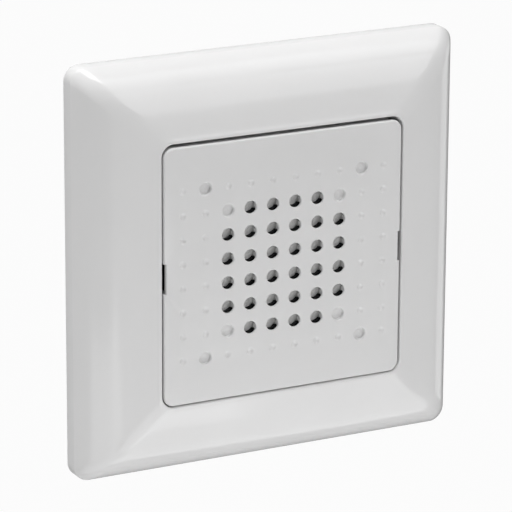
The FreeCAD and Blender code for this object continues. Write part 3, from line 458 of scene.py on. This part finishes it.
def add_box(bm, x, height, z):
    """Adds a closed block to a mesh, from low and high values of each."""
    low = Vector((x[0], -height[1], z[0])) * MM
    high = Vector((x[1], -height[0], z[1])) * MM
    for vertex in bmesh.ops.create_cube(bm, size=1.0)["verts"]:
        vertex.co = Vector((
            low[axis] if vertex.co[axis] < 0 else high[axis] for axis in range(3)
        ))


def ring_of(bm, points, height):
    """A ring of new vertices at a height, from points as (x, z)."""
    return [bm.verts.new((x * MM, -height * MM, z * MM)) for x, z in points]


def bridge(bm, first, second):
    """Faces between two rings of as many points."""
    count = len(first)
    for side in range(count):
        other = (side + 1) % count
        bm.faces.new((first[side], first[other], second[other], second[side]))


def bridge_all(bm, rings):
    """Faces from each ring to the next."""
    for first, second in zip(rings, rings[1:]):
        bridge(bm, first, second)


def fill(bm, loops):
    """A flat face with holes in it, from its outer loop and the loops inside."""
    edges = []
    for loop in loops:
        for side in range(len(loop)):
            pair = (loop[side], loop[(side + 1) % len(loop)])
            edges.append(bm.edges.get(pair) or bm.edges.new(pair))
    bmesh.ops.triangle_fill(bm, use_beauty=True, edges=edges, normal=(0, -1, 0))


# Cover frame: one closed profile swept round the rounded square, and four legs

FRAME_WALL = 2.0
FRAME_CORNER = 3.0
FRAME_EDGE = 3.1
FOOT_CHAMFER = 0.15
FOOT_CORNER = 0.1
COLLAR_WALL = 1.5
COLLAR_FOOT = 4.0
COLLAR_CORNER = 1.0
SLOPE_SHARE = 0.46
SLOPE_POWER = 6
SLOPE_RINGS = 48
INNER_RINGS = 16
RING_SPREAD = 1.6
CORNER_STEPS = 14
SIDE_RUNS = 24
LIP_ROUND = 0.3
LIP_STEPS = 5
FRAME_LEG_WIDTH = 4.0
FRAME_LEG_REACH = 12.0
FRAME_CREASE = 35

# How far the opening's edges lie right of or above their places round the plate
PLAY_RIGHT, PLAY_TOP, PLAY_BOTTOM = 0.1, 0.28, 0.05


def slope_height(share, rise):
    """Height of the slope at a share of the way from the opening to the outer edge."""
    return FRAME_EDGE + rise * (
        1 - SLOPE_SHARE * share - (1 - SLOPE_SHARE) * share ** SLOPE_POWER
    )


def frame_profile():
    """The frame's section as (half side, corner radius, height), closed round the wall of it."""
    rise = FRAME_TOP - FRAME_EDGE
    opening_corner = PLATE_CORNER + PLATE_GAP
    profile = []
    for index in range(LIP_STEPS + 1):
        angle = math.radians(90 * index / LIP_STEPS)
        half = OPENING_HALF + LIP_ROUND * (1 - math.cos(angle))
        height = FRAME_TOP - LIP_ROUND * (1 - math.sin(angle))
        profile.append((half, opening_corner + half - OPENING_HALF, height))
    first_share = LIP_ROUND / (FRAME_HALF - OPENING_HALF)
    for index in range(1, SLOPE_RINGS + 1):
        along = index / SLOPE_RINGS
        share = first_share + (1 - first_share) * (1 - (1 - along) ** RING_SPREAD)
        half = OPENING_HALF + (FRAME_HALF - OPENING_HALF) * share
        corner = opening_corner + (FRAME_CORNER - opening_corner) * share
        profile.append((half, corner, slope_height(share, rise)))
    profile.append((FRAME_HALF, FRAME_CORNER, FOOT_CHAMFER))
    profile.append((FRAME_HALF - FOOT_CHAMFER, FRAME_CORNER - FOOT_CORNER, 0.0))
    inside = FRAME_HALF - FRAME_WALL
    inside_corner = FRAME_CORNER - FRAME_WALL / 2
    profile.append((inside, inside_corner, 0.0))
    collar_half = OPENING_HALF + COLLAR_WALL
    for index in range(INNER_RINGS, -1, -1):
        share = index / INNER_RINGS
        half = OPENING_HALF + (inside - OPENING_HALF) * share
        if half < collar_half:
            break
        corner = opening_corner + (inside_corner - opening_corner) * share
        profile.append((half, corner, slope_height(share, rise - FRAME_WALL)))
    collar_corner = opening_corner + COLLAR_CORNER
    profile.append((collar_half, collar_corner, profile[-1][2]))
    profile.append((collar_half, collar_corner, COLLAR_FOOT))
    profile.append((OPENING_HALF, opening_corner, COLLAR_FOOT))
    return profile


def make_cover_frame(materials):
    """The frame, with the shift of its opening spread out to its outer edge."""
    bm = bmesh.new()
    rings = []
    for half, corner, height in frame_profile():
        share = min(1, (FRAME_HALF - half) / (FRAME_HALF - OPENING_HALF - LIP_ROUND))
        rings.append([
            bm.verts.new((
                (x + PLAY_RIGHT * share) * MM, -height * MM,
                (z + (PLAY_TOP if z > 0 else PLAY_BOTTOM) * share) * MM,
            ))
            for x, z in rounded_square(half, corner, CORNER_STEPS, SIDE_RUNS)
        ])
    bridge_all(bm, rings + rings[:1])
    for x in (-1, 1):
        for z in (-1, 1):
            across = centred(x * FRAME_LEG_REACH, FRAME_LEG_WIDTH)
            along = sorted((z * OPENING_HALF, z * (OPENING_HALF + COLLAR_WALL)))
            add_box(bm, across, (LEG_TIP, COLLAR_FOOT), along)
    add_piece("cover_frame_shell", bm, FRAME_CREASE, "frame", "white_gloss", materials,
              "cover_frame")


# Centre plate: its face and its back are flat, and each hole, recess and dimple is swept down

PLATE_SKIRT = 1.2
SKIRT_FOOT = 5.75
SKIRT_SETBACK = 0.3
EDGE_ROUND = 0.4
EDGE_STEPS = 6
EDGE_THICKNESS = 0.75
LEAST_CORNER = 0.3
NOTCH_WIDTH = 5.9
NOTCH_DEPTH = 0.45
NOTCH_ROUND_SHARE = 0.3
PLATE_LEG_WIDTH = 5.0
PLATE_LEG_REACH = 11.0
PLATE_CREASE = 40

# The grid, counted from the left and from the top, and which of its points are which
GRID_PITCH = 4.7
COLUMNS = range(1, 11)
ROWS = range(1, 9)
HOLE_COLUMNS = range(3, 9)
HOLE_ROWS = range(2, 8)
OUTER_BLIND_COLUMNS = (2, 9)
OUTER_BLIND_ROWS = (1, 8)

# Sound holes. A part of each wall, between two angles, is straight and ends in a lip.
RIM_ROUND = 0.25
RIM_STEPS = 5
HOLE_LAND = 0.35
HOLE_FLARE = 40
STRAIGHT_WALL = (-20, 20)
LIP_OUTER = 1.5
LIP_DEPTH = 1.4

# Blind recesses. Their foot is (in from the wall, up from the floor), and a faint ring stands on
# the floor, as (radius, depth below the floor).
BLIND_RADIUS = 1.175
BLIND_DEPTH = 0.7
BLIND_RIM_ROUND = 0.35
BLIND_FOOT = ((0.0, 0.1), (0.04, 0.03), (0.12, 0.0))
FLOOR_RING = ((0.72, 0.0), (0.66, -0.015), (0.58, -0.02), (0.50, -0.015), (0.44, 0.0))

# Dimples, with their section as shares of their radius and depth
DIMPLE_RADIUS = 0.72
DIMPLE_DEPTH = 0.26
DIMPLE_SECTION = (
    (1.16, 0.0), (1.06, 0.04), (0.94, 0.15), (0.80, 0.33), (0.66, 0.57), (0.52, 0.80),
    (0.38, 0.93), (0.22, 0.99), (0.10, 1.0),
)


def grid_point(column, row):
    """Where a point of the grid lies."""
    x = (column - (COLUMNS[0] + COLUMNS[-1]) / 2) * GRID_PITCH
    z = ((ROWS[0] + ROWS[-1]) / 2 - row) * GRID_PITCH
    return x, z


def grid_kind(column, row):
    """What a point of the grid is: a hole, a blind recess or a dimple."""
    in_holes = column in HOLE_COLUMNS and row in HOLE_ROWS
    corner = column in (HOLE_COLUMNS[0], HOLE_COLUMNS[-1]) and row in (HOLE_ROWS[0], HOLE_ROWS[-1])
    if corner or (column in OUTER_BLIND_COLUMNS and row in OUTER_BLIND_ROWS):
        return "blind"
    return "hole" if in_holes else "dimple"


def rim(radius, rounding):
    """A rounded rim from the flat face into a bore, as (radius, depth)."""
    return [
        (radius + rounding * (1 - math.sin(angle)), rounding * (1 - math.cos(angle)))
        for angle in (math.radians(90 * index / RIM_STEPS) for index in range(RIM_STEPS + 1))
    ]


def bore_profile(kind):
    """The section of a hole, recess or dimple, as (radius, depth) from the face down."""
    if kind == "hole":
        flare = HOLE_RADIUS + (PLATE_WEB - HOLE_LAND) * math.tan(math.radians(HOLE_FLARE))
        return rim(HOLE_RADIUS, RIM_ROUND) + [(HOLE_RADIUS, HOLE_LAND), (flare, PLATE_WEB)]
    if kind == "blind":
        foot = [(BLIND_RADIUS - inward, BLIND_DEPTH - rise) for inward, rise in BLIND_FOOT]
        floor = [(radius, BLIND_DEPTH + sink) for radius, sink in FLOOR_RING]
        return rim(BLIND_RADIUS, BLIND_RIM_ROUND) + foot + floor
    return [(DIMPLE_RADIUS * radius, DIMPLE_DEPTH * depth) for radius, depth in DIMPLE_SECTION]


def plate_outline(inset, notched=True):
    """Points round the plate, with its pry notches, moved in by an inset."""
    half = PLATE_HALF - inset
    radius = max(PLATE_CORNER - inset, LEAST_CORNER)
    reach = NOTCH_WIDTH / 2 + inset * NOTCH_ROUND_SHARE
    floor = PLATE_HALF - NOTCH_DEPTH - inset * NOTCH_ROUND_SHARE
    points = []
    for quarter, (x, z) in enumerate(((1, -1), (1, 1), (-1, 1), (-1, -1))):
        for index in range(CORNER_RUNS + 1):
            angle = math.radians(90 * (quarter - 1) + 90 * index / CORNER_RUNS)
            points.append((x * (half - radius) + radius * math.cos(angle),
                           z * (half - radius) + radius * math.sin(angle)))
        if notched and quarter in (0, 2):
            points += [(x * half, -x * reach), (x * floor, -x * reach),
                       (x * floor, x * reach), (x * half, x * reach)]
    return points


def on_straight_wall(angle):
    """Whether an angle round a hole, from 0 to 360 degrees, is on its straight part."""
    return angle <= STRAIGHT_WALL[1] or angle >= 360 + STRAIGHT_WALL[0]


def circle_points(middle, radius, depth):
    """Points round a bore. At the web's back, where a hole is wider, part of it stays straight."""
    points = []
    for index in range(CIRCLE_SIDES):
        angle = 360 * index / CIRCLE_SIDES
        reach = HOLE_RADIUS if on_straight_wall(angle) and depth == PLATE_WEB else radius
        turn = math.radians(angle)
        points.append((middle[0] + reach * math.cos(turn), middle[1] + reach * math.sin(turn)))
    return points


def add_lip(bm, middle):
    """The straight part of a hole's wall, which stands on a little way behind the web."""
    step = 360 / CIRCLE_SIDES
    first = math.ceil(STRAIGHT_WALL[0] / step)
    last = math.floor(STRAIGHT_WALL[1] / step)
    lip_back = FACE_HEIGHT - LIP_DEPTH
    section = ((HOLE_RADIUS, WEB_BACK), (HOLE_RADIUS, lip_back), (LIP_OUTER, lip_back),
               (LIP_OUTER, WEB_BACK))
    corners = []
    for index in range(first, last + 1):
        turn = math.radians(index * step)
        cos, sin = math.cos(turn), math.sin(turn)
        corners.append([
            bm.verts.new(((middle[0] + radius * cos) * MM, -height * MM,
                          (middle[1] + radius * sin) * MM))
            for radius, height in section
        ])
    bridge_all(bm, corners)
    bm.faces.new(corners[0])
    bm.faces.new(corners[-1])


def half_outline(side, inset):
    """The upper or lower half of the plate's outline, open at the pry notches."""
    half, end = PLATE_HALF - inset, NOTCH_WIDTH / 2
    kept = [(x, z) for x, z in plate_outline(inset, notched=False) if z * side > 0]
    if side > 0:
        return [(half, end)] + kept + [(-half, end)]
    lower = [(x, z) for x, z in kept if x < 0] + [(x, z) for x, z in kept if x > 0]
    return [(-half, -end)] + lower + [(half, -end)]


def add_skirt_half(bm, side):
    """Half of the skirt behind the web, from one notch round to the other."""
    outer, inner = half_outline(side, SKIRT_SETBACK), half_outline(side, PLATE_SKIRT)
    outer_back, outer_foot, inner_back, inner_foot = (
        ring_of(bm, points, height)
        for points in (outer, inner) for height in (WEB_BACK, SKIRT_FOOT)
    )
    for low, high in ((outer_back, outer_foot), (outer_foot, inner_foot),
                      (inner_foot, inner_back), (inner_back, outer_back)):
        for index in range(len(low) - 1):
            bm.faces.new((low[index], low[index + 1], high[index + 1], high[index]))
    for index in (0, -1):
        bm.faces.new((outer_back[index], outer_foot[index], inner_foot[index], inner_back[index]))


def add_edge(bm):
    """The plate's rounded edge, down to the web's back. Gives its first and its last ring."""
    sections = []
    for index in range(EDGE_STEPS + 1):
        angle = math.radians(90 * index / EDGE_STEPS)
        inset = EDGE_ROUND * (1 - math.sin(angle))
        sections.append((inset, FACE_HEIGHT - EDGE_ROUND * (1 - math.cos(angle))))
    edge_back = FACE_HEIGHT - EDGE_THICKNESS
    sections += [(0, edge_back), (SKIRT_SETBACK, edge_back), (SKIRT_SETBACK, WEB_BACK)]
    rings = [ring_of(bm, plate_outline(inset), height) for inset, height in sections]
    bridge_all(bm, rings)
    return rings[0], rings[-1]


def make_centre_plate(materials):
    """The plate with its grid, its skirt and its four legs."""
    bm = bmesh.new()
    face_edge, back_edge = add_edge(bm)
    face_loops, back_loops = [face_edge], [back_edge]
    for column in COLUMNS:
        for row in ROWS:
            kind = grid_kind(column, row)
            middle = grid_point(column, row)
            rings = [
                ring_of(bm, circle_points(middle, radius, depth), FACE_HEIGHT - depth)
                for radius, depth in bore_profile(kind)
            ]
            bridge_all(bm, rings)
            face_loops.append(rings[0])
            if kind == "hole":
                back_loops.append(rings[-1])
                add_lip(bm, middle)
            else:
                bm.faces.new(rings[-1])
    fill(bm, face_loops)
    fill(bm, back_loops)
    for side in (-1, 1):
        add_skirt_half(bm, side)
    for x in (-1, 1):
        for z in (-1, 1):
            across = sorted((x * (PLATE_HALF - PLATE_SKIRT), x * PLATE_HALF))
            along = centred(z * PLATE_LEG_REACH, PLATE_LEG_WIDTH)
            add_box(bm, across, (LEG_TIP, SKIRT_FOOT), along)
    add_piece("centre_plate_moulding", bm, PLATE_CREASE, "plate", "white_satin", materials,
              "centre_plate")


# Felt: a black sheet behind the holes that paints the shade inside them. It is shifted so its edge
# shows at the lower right of each hole, where the shade falls. Its own holes are wider on the
# right, within an angle in degrees up and down, to clear the plate's lips.

FELT_SIDE = 32.0
FELT_HOLE_RADIUS = 1.32
FELT_NOTCH_RADIUS = 1.74
FELT_NOTCH_ANGLE = 25
# Shift of the felt's holes, which puts its black, the painted shade, at the lower right of each
# sound hole
SHADE_FELT_SHIFT = (-0.12, 0.24)
FELT_WANDER = 0.015
FELT_CREASE = 40
# Waves round a hole's cut edge: how many, and how far each column and each row shifts them
FELT_WAVES = ((3, 2.1, 1.0), (7, 1.0, 1.7))


def felt_hole(column, row):
    """Points round one hole of the felt."""
    x, z = grid_point(column, row)
    shift_x, shift_z = SHADE_FELT_SHIFT
    points = []
    for turn in turns_round(CIRCLE_SIDES):
        cos, sin = math.cos(turn), math.sin(turn)
        notch_x, notch_z = shift_x + FELT_NOTCH_RADIUS * cos, shift_z + FELT_NOTCH_RADIUS * sin
        beside_lip = abs(math.degrees(math.atan2(notch_z, notch_x))) <= FELT_NOTCH_ANGLE
        wander = sum(
            math.sin(waves * turn + by_column * column + by_row * row)
            for waves, by_column, by_row in FELT_WAVES
        )
        radius = (FELT_NOTCH_RADIUS if beside_lip else FELT_HOLE_RADIUS) + FELT_WANDER * wander
        points.append((x + shift_x + radius * cos, z + shift_z + radius * sin))
    return points


def make_shade_felt(materials):
    """The felt on the back of the plate, one flat sheet with a hole for each sound hole, whose
    black is painted shade inside the holes.
    """
    low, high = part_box("sound_felt")
    front, back = -low.y / MM, -high.y / MM
    outlines = [rounded_square(FELT_SIDE / 2, PLATE_CORNER, CORNER_RUNS, 1)]
    for column in HOLE_COLUMNS:
        for row in HOLE_ROWS:
            if grid_kind(column, row) == "hole":
                outlines.append(felt_hole(column, row))
    bm = bmesh.new()
    front_loops, back_loops = [], []
    for outline in outlines:
        front_loops.append(ring_of(bm, outline, front))
        back_loops.append(ring_of(bm, outline, back))
        bridge(bm, front_loops[-1], back_loops[-1])
    fill(bm, front_loops)
    fill(bm, back_loops)
    piece = add_piece("shade_felt_sheet", bm, FELT_CREASE, "plate", "felt", materials, "sound_felt")


# Screws: a slotted head and a shank with a cut thread. A head is (radius, height), a shank
# (radius, length) and a slot (width, depth).

SCREW_SIDES = 24
STEPS_PER_TURN = 8
THREAD_SHARE = 0.6
HEAD_CHAMFER = 0.15
DRIVE_SLOT = (0.6, 0.6)
SMALL_SLOT = (0.3, 0.25)
SCREW_CREASE = 25
INWARD, OUTWARD, UPWARD = (0, 1, 0), (0, -1, 0), (0, 0, 1)


def add_screw(bm, seat, axis, head, shank, slot, pitch):
    """A closed screw on its seat, with its shank along the axis and its slot along X."""
    head_radius, head_height = head
    radius, length = shank
    slot_width, slot_depth = slot
    across = (0, 1, 0) if axis == UPWARD else (0, 0, 1)
    edge = math.asin(slot_width / 2 / head_radius)
    turns = [2 * math.pi * (side + 0.5) / SCREW_SIDES for side in range(SCREW_SIDES)]
    half = SCREW_SIDES // 2
    turns[0], turns[half - 1], turns[half], turns[-1] = edge, math.pi - edge, math.pi + edge, -edge

    def vertex(along, right, over):
        return bm.verts.new([
            (seat[i] + axis[i] * along + across[i] * over + (right if i == 0 else 0)) * MM
            for i in range(3)
        ])

    def ring(along, radii):
        return [
            vertex(along, r * math.cos(turn), r * math.sin(turn)) for r, turn in zip(radii, turns)
        ]

    # The shank, whose thread fades in below the head
    thread = THREAD_SHARE * pitch
    step = pitch / STEPS_PER_TURN
    rings = [ring(0, [radius] * SCREW_SIDES)]
    for index in range(1, int((length - thread) / step)):
        along = index * step
        depth = thread * min(1, along / pitch)
        phases = [(along / pitch - turn / (2 * math.pi)) % 1 for turn in turns]
        rings.append(ring(along, [radius - depth * (1 - abs(2 * phase - 1)) for phase in phases]))
    rings.append(ring(length, [radius - thread] * SCREW_SIDES))
    bridge_all(bm, rings)
    bm.faces.new(rings[-1])

    # The head, whose slot parts its shoulder and its top in two
    under = ring(0, [head_radius] * SCREW_SIDES)
    floor = ring(slot_depth - head_height, [head_radius] * SCREW_SIDES)
    shoulder = ring(HEAD_CHAMFER - head_height, [head_radius] * SCREW_SIDES)
    top_radius = head_radius - HEAD_CHAMFER
    reach = math.sqrt(top_radius ** 2 - slot_width ** 2 / 4)
    top = []
    for side, turn in enumerate(turns):
        if side in (0, half - 1, half, SCREW_SIDES - 1):
            right = math.copysign(reach, math.cos(turn))
            over = math.copysign(slot_width / 2, math.sin(turn))
        else:
            right, over = top_radius * math.cos(turn), top_radius * math.sin(turn)
        top.append(vertex(-head_height, right, over))
    bridge_all(bm, [rings[0], under, floor])
    for first, last in ((0, half - 1), (half, SCREW_SIDES - 1)):
        for side in range(first, last):
            bm.faces.new((floor[side], floor[side + 1], shoulder[side + 1], shoulder[side]))
            bm.faces.new((shoulder[side], shoulder[side + 1], top[side + 1], top[side]))
        bm.faces.new(top[first:last + 1])
        bm.faces.new((floor[first], shoulder[first], top[first], top[last], shoulder[last],
                      floor[last]))
    bm.faces.new((floor[0], floor[half - 1], floor[half], floor[-1]))


def make_screws(materials):
    """The screws with a thread, each node's own in one piece."""
    kinds = [
        # node, body, slot of the record, seats, axis, head, shank, drive slot, pitch
        ("adjusting_screw", "adjuster", "brass", [(0, 20.8, 15.3)],
         OUTWARD, (2.2, 1.8), (1.4, 19.75), DRIVE_SLOT, 0.5),
        ("core_screw", "base", "zinc", [(0, 21.6, 0)],
         OUTWARD, (3.5, 1.8), (1.9, 9.1), DRIVE_SLOT, 0.7),
        ("housing_screws", "base", "zinc", [(x, -2.5, z) for x in (-14, 14) for z in (-14, 14)],
         INWARD, (2.1, 1.2), (1.2, 9.5), DRIVE_SLOT, 0.45),
        ("spring_screws", "base", "zinc", [(-3.4, 0.8, 17.2), (3.4, 0.8, 17.2)],
         INWARD, (1.4, 0.6), (0.9, 1.7), SMALL_SLOT, 0.35),
    ]
    for side, sign in (("left", -1), ("right", 1)):
        kinds += [
            (f"claw_screw_{side}", f"claw_screw_{side}", "zinc", [(sign * 27, -1, 0)],
             INWARD, (2.4, 1.6), (1.5, 18), DRIVE_SLOT, 0.5),
            (f"terminal_screw_{side}", f"terminal_screw_{side}", "zinc",
             [(sign * 4.2, 14, -19.05)], UPWARD, (2.1, 1.1), (1.25, 2.3), DRIVE_SLOT, 0.45),
        ]
    for node, body, slot, seats, *shape in kinds:
        bm = bmesh.new()
        for seat in seats:
            add_screw(bm, seat, *shape)
        add_piece(f"threaded_{node}", bm, SCREW_CREASE, body, slot, materials, node)


# Leaf spring: its upper end is screwed to the yoke's tab, and its lower end swings with the
# armature. Its holes are (x, z, radius), and its sides have points at the values of Z in
# LEAF_BEND.

LEAF_HOLES = ((-3.4, 17.2, 0.95), (3.4, 17.2, 0.95), (-3.0, 7.0, 0.8), (3.0, 7.0, 0.8))
LEAF_BEND = (11.4, 11.2, 11.0, 10.8, 10.6, 10.4)
LEAF_HOLE_SIDES = 24
LEAF_CREASE = 30


def make_leaf(materials):
    """The leaf spring, on no body, with its place baked into its mesh."""
    low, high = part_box("armature_spring")
    right, foot, head = high.x / MM, low.z / MM, high.z / MM
    outline = [(-right, foot), (right, foot)] + [(right, z) for z in reversed(LEAF_BEND)]
    outline += [(right, head), (-right, head)] + [(-right, z) for z in LEAF_BEND]
    loops = [outline]
    for x, z, radius in LEAF_HOLES:
        loops.append([
            (x + radius * math.cos(turn), z + radius * math.sin(turn))
            for turn in turns_round(LEAF_HOLE_SIDES)
        ])
    bm = bmesh.new()
    front = [ring_of(bm, points, -low.y / MM) for points in loops]
    back = [ring_of(bm, points, -high.y / MM) for points in loops]
    for first, second in zip(front, back):
        bridge(bm, first, second)
    fill(bm, front)
    fill(bm, back)
    leaf = add_piece("leaf_spring", bm, LEAF_CREASE, None, "spring", materials, "armature_spring")
    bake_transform(leaf)


# Coil: rounds of enamelled wire side by side between the flanges of the bobbin

COIL_TURNS = 40
COIL_SIDES = 72
COIL_BORE = 4.4
WIRE_ROUND = 0.16
STEPS_PER_WIRE = 4
COIL_CREASE = 60


def make_coil(materials):
    """The coil, as one closed profile swept round the bobbin."""
    low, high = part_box("coil_winding")
    outside = high.x / MM
    front, back = low.y / MM, high.y / MM
    steps = COIL_TURNS * STEPS_PER_WIRE
    profile = [(COIL_BORE, back), (COIL_BORE, front)]
    for index in range(steps + 1):
        share = index / STEPS_PER_WIRE % 1
        radius = outside - WIRE_ROUND * (1 - math.sin(math.pi * share))
        profile.append((radius, front + (back - front) * index / steps))
    turns = turns_round(COIL_SIDES)
    bm = bmesh.new()
    rings = [
        ring_of(bm, [(radius * math.cos(turn), radius * math.sin(turn)) for turn in turns], -depth)
        for radius, depth in profile
    ]
    bridge_all(bm, rings + rings[:1])
    add_piece("coil_turns", bm, COIL_CREASE, "base", "copper", materials, "coil_winding")


make_camera()
make_light()
make_floor()
slot_materials = make_materials()
dress_nodes(slot_materials)
make_cover_frame(slot_materials)
make_centre_plate(slot_materials)
make_shade_felt(slot_materials)
make_screws(slot_materials)
make_leaf(slot_materials)
make_coil(slot_materials)

scene = bpy.context.scene
scene.view_settings.view_transform = "Standard"
